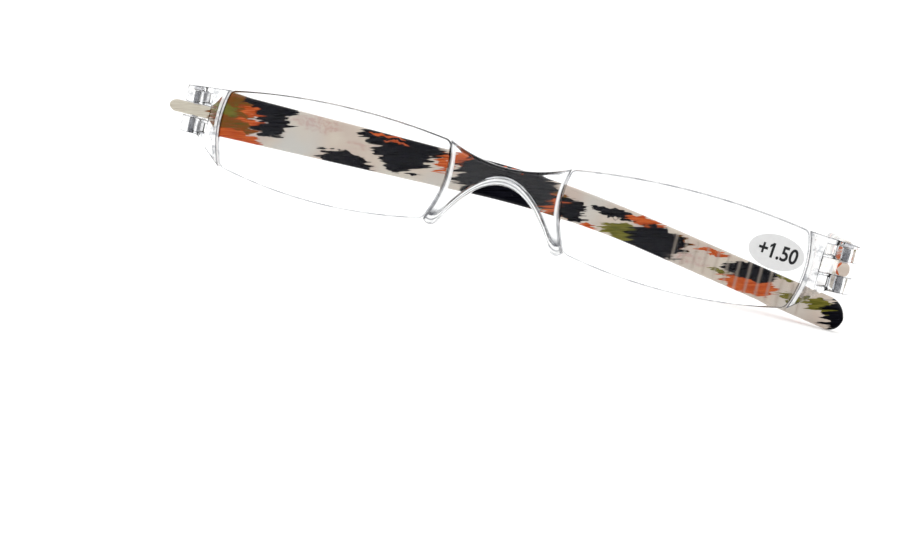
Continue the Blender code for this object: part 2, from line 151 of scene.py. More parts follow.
# Power label
LABEL_WIDTH = 10.4 * MM
LABEL_HEIGHT = 6.4 * MM
LABEL_THICKNESS = 0.12 * MM
LABEL_INSET = 4.8 * MM
LABEL_RISE = 2.2 * MM
LABEL_GAP = 0.03 * MM
LABEL_TILT = math.radians(-4.5)
LABEL_FILLET = 0.04 * MM
NUMERALS = "+1.50"
NUMERAL_SIZE = 3.4 * MM
NUMERAL_WEIGHT = 0.022  # by which strokes are fattened, in numeral sizes
NUMERALS_WIDTH = 7.4 * MM
NUMERALS_SHIFT = 0.25 * MM
NUMERALS_STRETCH = 1.12
ONE_SPAN = (-0.52, -0.22)  # where the numeral one stands, in numeral sizes
ONE_FLAG = ((0.04, 0.0), (-0.13, -0.13), (-0.13, -0.26), (0.04, -0.15))
NUMERAL_DEPTH = 0.02 * MM
WELD = 0.002 * MM

# Finishes
PRINT_APART = 7.0  # between the two temples' places in the print's noise
POLISHED = (0.985, 0.99, 0.99, 1)
# Painted shade: the dark colour drawn on the rims and lines of the clear pieces, standing in for the
# dark edges that their refraction shows
PAINTED_EDGE_SHADE = (0.13, 0.135, 0.15, 1)
SEAM_LOSS = 0.8  # of transmission at the palest of the seams and of the bridge band's painted highlight

# Studio: angles are from the middle of the dark patch, levels are heights on the unit dome
DARK_TILT = math.radians(12)
DARK_CORE = math.radians(44)
DARK_END = math.radians(66)
STRIP_FOOT = (0.02, 0.05)
STRIP_HEAD = (0.24, 0.3)
DOME_LIGHT = (1.0, 1.0, 1.0, 1)
DOME_DARK = (0.02, 0.02, 0.023, 1)
DOME_STRENGTH = 1.42
FLOOR_TONES = ((0.985, 0.985, 0.985, 1), (0.998, 0.998, 0.998, 1))
FLOOR_REACH = 4.0
FLOOR_LEVEL = -0.03 * MM
LAMPS = {"key": ((-0.5, -0.6, 0.7), 2.2), "fill": ((0.7, -0.5, 0.5), 1.1)}  # place and watts
LAMP_TARGET = (0, -0.05, 0.01)
LAMP_SIZE = 0.5
BOUNCES = 20

# Camera
CAMERA_PLACE = (0.0373, -0.3466, 0.0272)
CAMERA_PAN = math.radians(8.82)
CAMERA_DIP = math.radians(6.97)
CAMERA_ROLL = math.radians(13.31)
CAMERA_LENS = 60.0
CAMERA_NEAR = 0.01

# Worked out from the frame and the sizes above
JOINTS = {joint["name"]: Vector(joint["pos_m"]) for joint in frame["joints"]}
HINGES = {side: JOINTS[side + "_temple_hinge"] for side in ("left", "right")}
HINGE_X = HINGES["right"].x
HINGE_HEIGHT = HINGES["right"].z
FRONT_Y = HINGES["right"].y - HINGE_SETBACK
FRONT = Matrix.Translation((0, FRONT_Y, 0))
LENS_MIDDLE = (LENS_INNER + LENS_OUTER) / 2
LENS_LEVEL = LENS_HEIGHT / 2
LENS_END = LENS_HEIGHT / 2 - LENS_EDGE_SAG
EAR_TOP = SLOT_HEIGHT / 2 + EAR_HEIGHT
TEMPLE_TURNS = {"left": INNER_FOLD, "right": math.pi - OPEN_ANGLE}
SIGNS = {"left": -1, "right": 1}

EDGE_STEPS = 40
CORNER_STEPS = 8
LENS_RINGS = 12
LABEL_RINGS = 6
FILLET_STEPS = 5
BAND_STEPS = 12
BRIDGE_STEPS = 120
WEB_STEPS = 12
EAR_STEPS = 48
ROUND_STEPS = 48
BEVEL_STEPS = 2
BEVEL_ANGLE = math.radians(32)  # edges that turn by less aren't rounded
THREAD_STEPS = 8
TEMPLE_STEP = 0.75 * MM
RIB_STEPS = 12
TIP_STEPS = 24
TIP_START = 0.3  # the last section stands this share of a step in from the very tip
PAST = 10 * MM  # how far a cutter runs past what it cuts


# ---------------------------------------------------------------- mesh tools


def piece(name, points, faces, place=None):
    """One closed mesh as an object, with its faces pointing out."""
    mesh = bpy.data.meshes.new(name)
    mesh.from_pydata([tuple(p) for p in points], [], faces)
    work = bmesh.new()
    work.from_mesh(mesh)
    bmesh.ops.recalc_face_normals(work, faces=work.faces)
    work.to_mesh(mesh)
    work.free()
    made = bpy.data.objects.new(name, mesh)
    bpy.context.scene.collection.objects.link(made)
    made.matrix_world = place or Matrix()
    return made


def settle(made):
    """Applies an object's modifiers and removes the cutters that they used."""
    cutters = [m.object for m in made.modifiers if m.type == "BOOLEAN"]
    bpy.context.view_layer.update()
    graph = bpy.context.evaluated_depsgraph_get()
    mesh = bpy.data.meshes.new_from_object(made.evaluated_get(graph))
    made.modifiers.clear()
    made.data = mesh
    mesh.name = made.name
    for cutter in cutters:
        bpy.data.objects.remove(cutter)


def finish_shape(made, material, sharp, body, slot, node=None):
    """Shades a piece smooth between sharp edges, paints it, ties it to its body and hides the imported
    part of its node.

    Edges over sharp, in degrees, stay sharp.
    Clear pieces cast no shadow and don't show in the light that others scatter.
    """
    clear = slot in ("lens", "clear_acrylic")
    made.visible_shadow = made.visible_diffuse = not clear
    made.data.materials.clear()
    made.data.materials.append(material)
    made.data.shade_smooth()
    made.data.set_sharp_from_angle(angle=math.radians(sharp))
    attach(made, body)
    if node:
        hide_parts(node)


def loft(rings, ladder=False):
    """Points and faces of a closed body through rings with equal counts of points.

    A ladder's end caps join each point to the one across from it, so that they can be curved.
    """
    count = len(rings[0])
    points = [p for ring in rings for p in ring]
    faces = []
    for base in (0, (len(rings) - 1) * count):
        if ladder:
            for i in range(count // 2 - 1):
                faces.append((base + i, base + i + 1, base + count - 2 - i, base + count - 1 - i))
        else:
            faces.append(tuple(base + i for i in range(count)))
    for k in range(len(rings) - 1):
        for i in range(count):
            j = (i + 1) % count
            faces.append((k * count + i, k * count + j, (k + 1) * count + j, (k + 1) * count + i))
    return points, faces


def prism(outline, low, high, upright=True):
    """An outline carried along Z, or along Y if it isn't upright."""
    if upright:
        return loft([[(x, y, level) for x, y in outline] for level in (low, high)])
    return loft([[(x, level, z) for x, z in outline] for level in (low, high)])


def turned(radius, low, high):
    turns = [2 * math.pi * i / ROUND_STEPS for i in range(ROUND_STEPS)]
    return prism([(radius * math.cos(t), radius * math.sin(t)) for t in turns], low, high)


def block(low, high):
    (x0, y0, z0), (x1, y1, z1) = low, high
    return prism([(x0, y0), (x1, y0), (x1, y1), (x0, y1)], z0, z1)


def combine(target, points, faces, place, operation="DIFFERENCE"):
    """Cuts the target with another body, once it is settled."""
    cutter = piece(target.name + "_cutter", points, faces, place)
    change = target.modifiers.new("cut", "BOOLEAN")
    change.operation = operation
    change.solver = "EXACT"
    change.object = cutter


def bevel(target, width):
    """Rounds the target's edges, once it is settled."""
    change = target.modifiers.new("bevel", "BEVEL")
    change.width = width
    change.segments = BEVEL_STEPS
    change.limit_method = "ANGLE"
    change.angle_limit = BEVEL_ANGLE
    change.use_clamp_overlap = False


def smooth(share):
    share = min(1, max(0, share))
    return share * share * (3 - 2 * share)


# ---------------------------------------------------------------- node tools


def srgb(red, green, blue):
    """A colour from its 0 to 255 values, as shaders take it."""
    return tuple((c / 255) ** 2.2 for c in (red, green, blue)) + (1.0,)


def node(tree, kind, inputs=(), output=0, **settings):
    """A shader node with its settings, its inputs linked or set, and the wanted output."""
    made = tree.nodes.new("ShaderNode" + kind)
    for key, value in settings.items():
        setattr(made, key, value)
    for key, value in dict(inputs).items():
        if isinstance(value, bpy.types.NodeSocket):
            tree.links.new(value, made.inputs[key])
        else:
            made.inputs[key].default_value = value
    return made.outputs[output]


def maths(tree, operation, *values):
    return node(tree, "Math", enumerate(values), operation=operation)


def ramp(tree, value, low, high, start=0.0, end=1.0):
    """The value carried from low..high to start..end, and held there."""
    inputs = {"Value": value, "From Min": low, "From Max": high, "To Min": start, "To Max": end}
    return node(tree, "MapRange", inputs, clamp=True)


def mixed(tree, share, first, second):
    return node(tree, "Mix", {0: share, 6: first, 7: second}, output=2, data_type="RGBA")


def noise(tree, place, scale, detail=2.0, roughness=0.5):
    inputs = {"Vector": place, "Scale": scale, "Detail": detail, "Roughness": roughness}
    return node(tree, "TexNoise", inputs)


def finish(name, **values):
    """A new material and its tree and shader, with the shader's even values set on its own sockets."""
    made = bpy.data.materials.new(name)
    made.use_nodes = True
    shader = made.node_tree.nodes["Principled BSDF"]
    for key, value in values.items():
        shader.inputs[key.replace("_", " ")].default_value = value
    return made, made.node_tree, shader


def bumped(tree, shader, height, strength, distance):
    inputs = {"Height": height, "Strength": strength, "Distance": distance}
    tree.links.new(node(tree, "Bump", inputs), shader.inputs["Normal"])


# ---------------------------------------------------------------- materials


def seam_beside_lens(tree, place):
    """How pale an endpiece is: high on a strip along the lens's bowed outer edge, and 0 beyond it."""
    _, low, high, _ = lens_corners()
    span = high.y - low.y
    x = maths(tree, "ABSOLUTE", node(tree, "SeparateXYZ", {0: place}))
    height = node(tree, "SeparateXYZ", {0: place}, output=2)
    share = maths(tree, "MULTIPLY_ADD", height, 1 / span, -low.y / span)
    bow = maths(tree, "MULTIPLY", share, maths(tree, "SUBTRACT", 1.0, share))
    chord = maths(tree, "MULTIPLY_ADD", share, high.x - low.x, low.x)
    edge = maths(tree, "MULTIPLY_ADD", bow, 4 * LENS_OUTER_SAG, chord)
    past = maths(tree, "MULTIPLY", maths(tree, "SUBTRACT", x, edge), 1 / MM)
    return ramp(tree, past, *ENDPIECE_SEAM, ENDPIECE_PALE, 0.0)


def clear_finish(name, tint, sheen, bonded=True, cloud=None):
    """Polished acrylic: moulding waves, handling marks and dark rims of painted shade.

    A bonded piece has pale seams, from its bond attribute or, where it is clouded, beside the lens; the
    bridge's bond attribute also holds a painted highlight along its band.
    """
    values = {"Transmission_Weight": 1.0, "IOR": 1.49, "Specular_Tint": (sheen, sheen, sheen, 1)}
    made, tree, shader = finish(name, **values)
    place = node(tree, "TexCoord", output=3)
    wave = noise(tree, place, 160.0, 1.0)
    marks = noise(tree, place, 420.0, 4.0, 0.6)
    tree.links.new(ramp(tree, marks, 0.5, 0.8, 0.0, 0.015), shader.inputs["Roughness"])
    colour = mixed(tree, ramp(tree, wave, 0.35, 0.65), tint, POLISHED)
    if cloud:
        glints = ramp(tree, noise(tree, place, 700.0, 3.0, 0.6), 0.54, 0.66)
        colour = mixed(tree, glints, colour, cloud)
    # Painted shade: faces marked in the rim attribute take the dark rim tone, a little uneven with the
    # marks
    rim = node(tree, "Attribute", output=2, attribute_name="rim")
    rim = maths(tree, "MULTIPLY", rim, ramp(tree, marks, 0.3, 0.6, 0.6, 1.0))
    colour = mixed(tree, rim, colour, PAINTED_EDGE_SHADE)
    tree.links.new(colour, shader.inputs["Base Color"])
    if bonded:
        if cloud:
            seam = seam_beside_lens(tree, place)
        else:
            seam = node(tree, "Attribute", output=2, attribute_name="bond")
        # Less see-through at the seams and, on the bridge, along the band's painted highlight
        see_through = maths(tree, "MULTIPLY_ADD", seam, -SEAM_LOSS, 1.0)
        tree.links.new(see_through, shader.inputs["Transmission Weight"])
    bumped(tree, shader, wave, 0.05, 0.0002)
    return made


def mark_painted_shade(made, chosen):
    """Notes the chosen faces, which are drawn darker as painted shade."""
    layer = made.data.attributes.new("rim", "FLOAT", "FACE")
    for face, share in zip(made.data.polygons, layer.data):
        share.value = 1.0 if chosen(face) else 0.0


def steel_finish():
    """Dull bright steel with a fine grain."""
    made, tree, shader = finish("screw_steel", Metallic=0.5)
    place = node(tree, "TexCoord", output=3)
    grain = noise(tree, place, 2500.0, 3.0)
    tree.links.new(ramp(tree, grain, 0.3, 0.7, 0.36, 0.52), shader.inputs["Roughness"])
    colour = mixed(tree, grain, srgb(196, 196, 200), srgb(232, 232, 235))
    tree.links.new(colour, shader.inputs["Base Color"])
    bumped(tree, shader, grain, 0.2, 0.00002)
    return made


def label_finish():
    """Satin white film with a faint fibre."""
    made, tree, shader = finish("label_film", Coat_Weight=0.2, Coat_Roughness=0.3)
    place = node(tree, "TexCoord", output=3)
    fibre = noise(tree, place, 1800.0, 4.0, 0.6)
    colour = mixed(tree, fibre, srgb(210, 210, 210), srgb(221, 221, 220))
    tree.links.new(colour, shader.inputs["Base Color"])
    tree.links.new(ramp(tree, fibre, 0.3, 0.7, 0.42, 0.6), shader.inputs["Roughness"])
    bumped(tree, shader, fibre, 0.15, 0.00002)
    return made


def ink_finish():
    """Black ink, a little uneven."""
    made, tree, shader = finish("label_ink")
    place = node(tree, "TexCoord", output=3)
    grain = noise(tree, place, 3000.0, 3.0)
    colour = mixed(tree, grain, srgb(14, 14, 16), srgb(34, 34, 38))
    tree.links.new(colour, shader.inputs["Base Color"])
    tree.links.new(ramp(tree, grain, 0.3, 0.7, 0.35, 0.5), shader.inputs["Roughness"])
    return made


# Brush spots of the print: distance along the temple, height over the hinge, half length and
# half height, in millimetres. The same spots run back along the outer side.
LEFT_PRINT = {
    "stone": ((-1.5, 0.0, 5.2, 2.4),),
    "brown": ((8.4, 1.0, 5.0, 4.4), (74.0, -1.0, 3.0, 2.4), (97.6, -3.0, 1.8, 2.0)),
    "olive": (
        (6.5, 1.6, 2.4, 1.2), (87.5, -3.2, 3.8, 1.8), (106.4, -5.6, 1.6, 0.6),
        (121.0, -7.4, 2.8, 1.0), (126.0, -7.6, 2.0, 1.3), (118.5, -3.9, 1.6, 0.7),
    ),
    "orange": (
        (9.6, -3.0, 5.4, 1.1), (13.0, 2.5, 3.0, 1.1), (12.2, 0.3, 2.6, 0.5), (51.2, 1.4, 1.4, 2.0),
        (55.0, 3.2, 3.2, 1.5), (70.6, -3.7, 2.0, 0.7), (73.4, -1.1, 2.0, 1.9),
        (80.8, -3.4, 1.2, 0.6), (90.2, -0.2, 3.6, 0.8), (104.9, -2.9, 2.4, 0.8),
        (112.2, -6.9, 5.2, 1.8),
    ),
    "black": (
        (15.6, 4.2, 5.6, 1.0), (16.9, 2.0, 2.9, 2.2), (15.9, -0.4, 3.0, 1.4),
        (32.3, -2.9, 5.1, 2.2), (42.6, 3.2, 8.4, 1.9), (42.3, 1.0, 6.0, 2.0),
        (42.8, -1.0, 3.4, 1.5), (60.5, 0.2, 6.6, 4.6), (67.5, 1.2, 6.0, 4.8),
        (77.0, -1.3, 2.7, 2.1), (84.6, -0.1, 3.8, 1.0), (93.8, -3.5, 5.4, 3.1),
        (112.4, -4.5, 4.8, 1.7), (129.9, -9.3, 3.2, 3.8),
    ),
    "streak": ((39.6, 3.9, 3.0, 0.22), (41.6, 3.0, 1.8, 0.18), (64.0, 3.3, 2.4, 0.2)),
    "blush": ((25.4, 3.0, 4.6, 1.6), (34.0, 0.8, 1.6, 0.8), (101.0, -5.0, 3.0, 1.0)),
}
RIGHT_PRINT = {
    "stone": ((-0.5, 0.0, 4.6, 2.4), (4.4, -1.0, 1.6, 3.0)),
    "brown": ((86.6, -2.0, 3.6, 2.4), (118.6, -6.0, 2.0, 2.4), (56.6, 1.0, 2.6, 2.0)),
    "olive": (
        (-2.4, 0.7, 1.6, 0.6), (10.0, 3.0, 3.8, 1.9), (33.4, 2.7, 4.2, 1.9),
        (80.4, 1.0, 2.8, 1.3), (89.8, -1.6, 2.4, 1.4), (93.0, -4.4, 2.4, 1.8),
        (103.2, -4.0, 3.6, 3.2), (7.4, -2.2, 2.6, 1.0),
    ),
    "orange": (
        (-4.4, -0.1, 2.0, 1.6), (25.4, 2.7, 3.0, 1.6), (52.0, 3.1, 3.0, 1.3), (70.0, -1.2, 3.6, 1.4),
        (96.2, -3.0, 4.6, 3.2), (121.4, -7.2, 5.4, 3.2),
    ),
    "black": (
        (12.0, 3.9, 2.6, 0.7), (11.8, -1.7, 5.4, 1.3), (20.9, 3.9, 3.4, 1.2),
        (29.0, 2.5, 2.7, 2.7), (47.4, 3.4, 3.4, 1.3), (61.5, 0.9, 8.4, 4.2), (76.0, 0.0, 4.0, 2.2),
        (86.2, -2.2, 2.8, 2.0), (87.0, -4.2, 4.2, 2.2), (114.4, -5.6, 3.9, 3.0), (129.8, -9.1, 3.2, 3.8),
    ),
    "streak": ((28.4, 3.3, 1.8, 0.25), (59.0, 2.4, 3.4, 0.3)),
    "blush": ((16.8, 2.8, 3.6, 1.8), (39.0, -1.0, 3.0, 1.4), (108.0, -5.0, 2.6, 1.4)),
}
PRINT_COLOURS = {
    "stone": (srgb(196, 190, 175), srgb(180, 172, 157)),
    "brown": (srgb(128, 62, 28), srgb(82, 72, 28)),
    "olive": (srgb(78, 78, 26), srgb(116, 110, 50)),
    "orange": (srgb(152, 60, 26), srgb(188, 92, 46)),
    "black": (srgb(11, 11, 15), srgb(24, 24, 30)),
    "streak": (srgb(150, 62, 34), srgb(190, 90, 50)),
}


def spots(tree, place, marks):
    """How far each point is from the nearest ellipse, in shares of that ellipse's size."""
    nearest = None
    for reach, height, length, rise in marks:
        stretch = (1 / length, 1 / rise, 0)
        shift = (-reach / length, -height / rise, 0)
        inputs = {0: place, 1: stretch, 2: shift}
        scaled = node(tree, "VectorMath", inputs, operation="MULTIPLY_ADD")
        away = node(tree, "VectorMath", {0: scaled}, output=1, operation="LENGTH")
        nearest = away if nearest is None else maths(tree, "MINIMUM", nearest, away)
    return nearest


def printed_finish(name, marks, seed):
    """Glossy moulded plastic under a printed film of brushed animal spots on cream."""
    values = {"IOR": 1.45, "Specular_IOR_Level": 0.14}
    made, tree, shader = finish(name, **values)
    flat = node(tree, "UVMap", uv_map="print")
    place = node(tree, "VectorMath", {0: flat, 1: (0, 0, seed)}, operation="ADD")

    # Brush hairs: long along the temple, fine across it, leaning a little
    across = {0: place, 1: (0.10, 1.45, 1.0), 2: (0, 0, 0)}
    hairs = node(tree, "VectorMath", across, operation="MULTIPLY_ADD")
    apart = node(tree, "SeparateXYZ", {0: place})
    lean = node(tree, "CombineXYZ", {"Y": maths(tree, "MULTIPLY", apart, -0.32)})
    hairs = node(tree, "VectorMath", {0: hairs, 1: lean}, operation="ADD")
    coarse = noise(tree, hairs, 1.0, 2.0, 0.55)
    fine = noise(tree, hairs, 2.6, 2.0, 0.6)
    push = maths(tree, "MULTIPLY_ADD", coarse, 9.0, -4.5)
    push = maths(tree, "MULTIPLY_ADD", fine, 4.0, maths(tree, "SUBTRACT", push, 2.0))
    blot = noise(tree, place, 0.45, 2.0, 0.5)
    rise = maths(tree, "MULTIPLY_ADD", blot, 2.4, -1.2)
    shove = node(tree, "CombineXYZ", {"X": push, "Y": rise})
    ragged = node(tree, "VectorMath", {0: place, 1: shove}, operation="ADD")

    tint = noise(tree, place, 0.11, 3.0, 0.6)
    cream = mixed(tree, ramp(tree, tint, 0.36, 0.64), srgb(196, 186, 172), srgb(184, 168, 157))
    grey = noise(tree, place, 0.07, 2.0)
    cream = mixed(tree, ramp(tree, grey, 0.5, 0.7), cream, srgb(187, 184, 178))
    dabs = ramp(tree, noise(tree, place, 1.3, 3.0, 0.7), 0.42, 0.58, 0.1, 0.42)
    blush = ramp(tree, spots(tree, ragged, marks["blush"]), 0.8, 1.15, 1.0, 0.0)
    paint = mixed(tree, maths(tree, "MULTIPLY", dabs, blush), cream, srgb(166, 118, 114))
    streaky = ramp(tree, fine, 0.38, 0.62)
    for colour in ("stone", "brown", "olive", "orange", "black", "streak"):
        inside = ramp(tree, spots(tree, ragged, marks[colour]), 0.96, 1.04, 1.0, 0.0)
        ink = mixed(tree, streaky, *PRINT_COLOURS[colour])
        paint = mixed(tree, inside, paint, ink)

    # The paint is paler in the grip grooves
    groove = node(tree, "Attribute", output=2, attribute_name="groove")
    paint = mixed(tree, maths(tree, "MULTIPLY", groove, 0.42), paint, srgb(186, 174, 162))

    # Pale specks under the gloss: dust, and painted glints that stand in for sparkle
    cell = node(tree, "TexVoronoi", {"Vector": place, "Scale": 1.1}, feature="F1")
    dust_and_glint = ramp(tree, cell, 0.03, 0.06, 1.0, 0.0)
    rare = ramp(tree, noise(tree, place, 0.8, 0.0), 0.58, 0.62)
    dust_and_glint = maths(tree, "MULTIPLY", dust_and_glint, rare)
    paint = mixed(tree, maths(tree, "MULTIPLY", dust_and_glint, 0.7), paint, srgb(205, 202, 195))
    tree.links.new(paint, shader.inputs["Base Color"])

    handling = noise(tree, place, 0.9, 4.0, 0.6)
    tree.links.new(ramp(tree, handling, 0.4, 0.75, 0.12, 0.26), shader.inputs["Roughness"])
    orange_peel = noise(tree, place, 1.4, 1.0)
    bumped(tree, shader, orange_peel, 0.12, 0.00006)
    return made


# ---------------------------------------------------------------- the front


def wrap(x):
    """How far the front bows back at x."""
    return x * x / (2 * FRONT_WRAP_RADIUS)


def lens_back(x):
    return wrap(x) + LENS_BACK_SETBACK


def lens_front(x, z):
    away = (x - LENS_MIDDLE) ** 2 + (z - LENS_LEVEL) ** 2
    return lens_back(x) - LENS_CENTRE_THICKNESS + away / (2 * LENS_POWER_RADIUS)


def bowed(start, end, sag, steps):
    """Points from start to end that bow out to the right of the way by sag, without the end."""
    way = Vector(end) - Vector(start)
    side = Vector((way.y, -way.x)).normalized()
    return [
        Vector(start) + way * (i / steps) + side * (4 * sag * (i / steps) * (1 - i / steps))
        for i in range(steps)
    ]


def round_corners(edges, radius, steps):
    """Joins the edges' points into one outline and rounds each corner between them."""
    outline = []
    for edge, after in zip(edges, edges[1:] + edges[:1]):
        start, corner = edge[0], after[0]
        outline += [
            p for p in edge if (p - start).length > radius and (p - corner).length > radius
        ]
        before = corner + (edge[-1] - corner).normalized() * radius
        behind = corner + (after[1] - corner).normalized() * radius
        for i in range(steps + 1):
            t = i / steps
            outline.append(before * (1 - t) ** 2 + corner * (2 * t * (1 - t)) + behind * t**2)
    return outline


def lens_corners():
    """Lower inner, lower outer, upper outer and upper inner, on the +X side."""
    low, high = LENS_LEVEL - LENS_END, LENS_LEVEL + LENS_END
    return (
        Vector((LENS_INNER + LENS_INNER_SLANT, low)),
        Vector((LENS_OUTER - LENS_OUTER_SLANT, low)),
        Vector((LENS_OUTER, high)),
        Vector((LENS_INNER, high + LENS_INNER_RISE)),
    )


def lens_inner_edge(share, gap=0.0):
    """A point of the lens's inner edge, share of the way up, moved off it by gap."""
    low, _, _, high = lens_corners()
    x = low.x + (high.x - low.x) * share - 4 * LENS_INNER_SAG * share * (1 - share) - gap
    return Vector((x, low.y + (high.y - low.y) * share))


def lens_outer_edge(share, gap=0.0):
    _, low, high, _ = lens_corners()
    x = low.x + (high.x - low.x) * share + 4 * LENS_OUTER_SAG * share * (1 - share) + gap
    return Vector((x, low.y + (high.y - low.y) * share))


def lens_outline():
    inner_low, outer_low, outer_high, inner_high = lens_corners()
    edges = [
        bowed(inner_low, outer_low, LENS_EDGE_SAG, EDGE_STEPS),
        [lens_outer_edge(i / EDGE_STEPS) for i in range(EDGE_STEPS)],
        bowed(outer_high, inner_high, LENS_TOP_SAG, EDGE_STEPS),
        [lens_inner_edge(1 - i / EDGE_STEPS) for i in range(EDGE_STEPS)],
    ]
    return round_corners(edges, LENS_CORNER, CORNER_STEPS)


def pillow(outline, middle, front, back, fillet, rings):
    """A thin body under an outline in XZ, with a front, a back and filleted rims."""
    count = len(outline)
    inward = []
    for i in range(count):
        way = (outline[(i + 1) % count] - outline[i - 1]).normalized()
        inward.append(Vector((-way.y, way.x)))
    # Each ring's share of the way out, inset from the rim, and depth from its face
    levels = [(ring / rings, 0.0, 0.0) for ring in range(1, rings)]
    for i in range(FILLET_STEPS + 1):
        turn = math.pi / 2 * i / FILLET_STEPS
        levels.append((1.0, fillet * (1 - math.sin(turn)), fillet * (1 - math.cos(turn))))
    points, faces = [], []
    for surface, into in ((front, 1), (back, -1)):
        points.append((middle.x, surface(*middle), middle.y))
        for share, inset, depth in levels:
            for edge, side in zip(outline, inward):
                rim = edge + side * max(inset, fillet if share < 1 else 0)
                at = middle + (rim - middle) * share
                points.append((at.x, surface(*at) + into * depth, at.y))
    half = 1 + len(levels) * count
    for base in (0, half):
        for i in range(count):
            j = (i + 1) % count
            faces.append((base, base + 1 + i, base + 1 + j))
            for ring in range(len(levels) - 1):
                here = base + 1 + ring * count
                faces.append((here + i, here + count + i, here + count + j, here + j))
    rim = 1 + (len(levels) - 1) * count
    for i in range(count):
        j = (i + 1) % count
        faces.append((rim + i, rim + j, half + rim + j, half + rim + i))
    return points, faces


def make_lens(side, material):
    middle = Vector((LENS_MIDDLE, LENS_LEVEL))
    points, faces = pillow(
        lens_outline(), middle, lens_front, lambda x, z: lens_back(x), LENS_FILLET, LENS_RINGS
    )
    points = [(SIGNS[side] * x, y, z) for x, y, z in points]
    made = piece(side + "_lens_polished", points, faces, FRONT)
    least, most = LENS_RIM_TILT
    # The lens's slanting rim faces get painted dark shade
    mark_painted_shade(made, lambda face: least < abs(face.normal.y) < most)
    finish_shape(made, material, 50, "front", "lens", side + "_lens")


def arch_edge(share):
    """The nose arch's edge from its left foot over the crown to its right foot, and its slope."""
    foot = lens_inner_edge(0, BOND_GAP)
    top = lens_inner_edge(1).y - BRIDGE_TOP_SAG - BRIDGE_CROWN_HEIGHT
    toe_x = foot.x - FOOT_WIDTH
    toe = Vector((toe_x, top - toe_x**2 / (2 * ARCH_RADIUS)))
    side = abs(2 * share - 1)
    if side < ARCH_SHARE:
        x = toe.x * side / ARCH_SHARE
        at, slope = Vector((x, top - x * x / (2 * ARCH_RADIUS))), x / ARCH_RADIUS
    else:
        along = (side - ARCH_SHARE) / (1 - ARCH_SHARE)
        at, slope = toe.lerp(foot, along), toe.x / ARCH_RADIUS * (1 - along)
        at.y -= FOOT_BOW * math.sin(math.pi * along)
    return Vector((math.copysign(at.x, share - 0.5), at.y)), slope


def bridge_point(share, up):
    """A point of the web between the arch, up = 0, and the top edge, up = 1."""
    high = lens_inner_edge(1, BOND_GAP)
    bow = 1 - (2 * share - 1) ** 2
    top = Vector((high.x * (2 * share - 1), high.y - BRIDGE_TOP_SAG * bow))
    at = arch_edge(share)[0].lerp(top, up)
    chord = lens_inner_edge(0, BOND_GAP).lerp(high, up)
    at.x += (lens_inner_edge(up, BOND_GAP).x - chord.x) * (2 * share - 1)
    return at


def bridge_section(stretch, inset):
    """Front and back of the bridge from the arch up: a rounded band, then a web with a rounded top."""
    band, radius = BRIDGE_BAND * stretch, BRIDGE_BAND / 2
    fillet = BRIDGE_FILLET * stretch
    front, back = [], []
    for i in range(BAND_STEPS + 1):
        turn = math.pi * i / BAND_STEPS
        up, depth = band / 2 * (1 - math.cos(turn)), radius * (1 - math.sin(turn))
        front.append((up, depth))
        back.append((up, BRIDGE_BAND_DEPTH - depth))
    low, high = band + BRIDGE_BAND_STEP * stretch, 1 - fillet
    for i in range(WEB_STEPS + 1):
        up = low + (high - low) * i / WEB_STEPS
        front.append((up, WEB_RECESS))
        back.append((up, BRIDGE_THICKNESS))
    for i in range(1, FILLET_STEPS + 1):
        turn = math.pi / 2 * i / FILLET_STEPS
        up, depth = 1 - fillet * (1 - math.sin(turn)), BRIDGE_FILLET * (1 - math.cos(turn))
        front.append((up, WEB_RECESS + depth))
        back.append((up, BRIDGE_THICKNESS - depth))
    section = [(up, depth + inset) for up, depth in front]
    return section + [(up, depth - inset) for up, depth in reversed(back)]


def bridge_shares():
    """Where the bridge's sections stand, and how far each is drawn in to round the two ends."""
    width = 2 * lens_inner_edge(0.5).x
    ends = []
    for i in range(FILLET_STEPS):
        turn = math.pi / 2 * i / FILLET_STEPS
        ends.append((END_FILLET * (1 - math.cos(turn)) / width, END_FILLET * (1 - math.sin(turn))))
    start = END_FILLET / width
    middle = [(start + (1 - 2 * start) * i / BRIDGE_STEPS, 0.0) for i in range(BRIDGE_STEPS + 1)]
    return ends + middle + [(1 - share, inset) for share, inset in reversed(ends)]


def drawn_painted_shade(risen, height):
    """Whether a dark line of painted shade runs at this height over the arch, where the web's top is at
    height.
    """
    depth, wide = TOP_LINE
    lines = BRIDGE_SHADE_LINES + ((height - depth, wide),)
    return any(abs(risen - line) < wide for line, wide in lines)


def make_bridge(material):
    """A web between the lenses with a rounded, deeper band round the nose arch."""
    rings, rims, bonds_and_highlights = [], [], []
    for share, inset in bridge_shares():
        height = (bridge_point(share, 1) - bridge_point(share, 0)).length
        stretch = math.hypot(1, arch_edge(share)[1]) / height
        from_end = min(share, 1 - share) * 2 * LENS_INNER
        seam = END_FILLET < from_end < END_FILLET + SEAM_WIDTH
        ring = []
        for up, depth in bridge_section(stretch, inset):
            at = bridge_point(share, up)
            ring.append((at.x, wrap(at.x) + depth, at.y))
            risen = up / stretch
            # Painted shade: the rounded end sections and the listed lines are drawn dark
            dark = inset > 0 or drawn_painted_shade(risen, 1 / stretch)
            rims.append(1.0 if dark else 0.0)
            # Painted highlight: the middle of the band is drawn pale, like the glue seams
            painted_highlight = PAINTED_HIGHLIGHT_SPAN[0] < risen / BRIDGE_BAND < PAINTED_HIGHLIGHT_SPAN[1]
            bonds_and_highlights.append(BOND_AND_HIGHLIGHT_SHARE if seam or painted_highlight else 0.0)
        rings.append(ring)
    made = piece("bridge_polished", *loft(rings, ladder=True), FRONT)
    # The rim attribute carries painted shade, the bond attribute the pale seams and the painted
    # highlight
    for name, shares in (("rim", rims), ("bond", bonds_and_highlights)):
        made.data.attributes.new(name, "FLOAT", "POINT").data.foreach_set("value", shares)
    finish_shape(made, material, 50, "front", "clear_acrylic", "bridge")


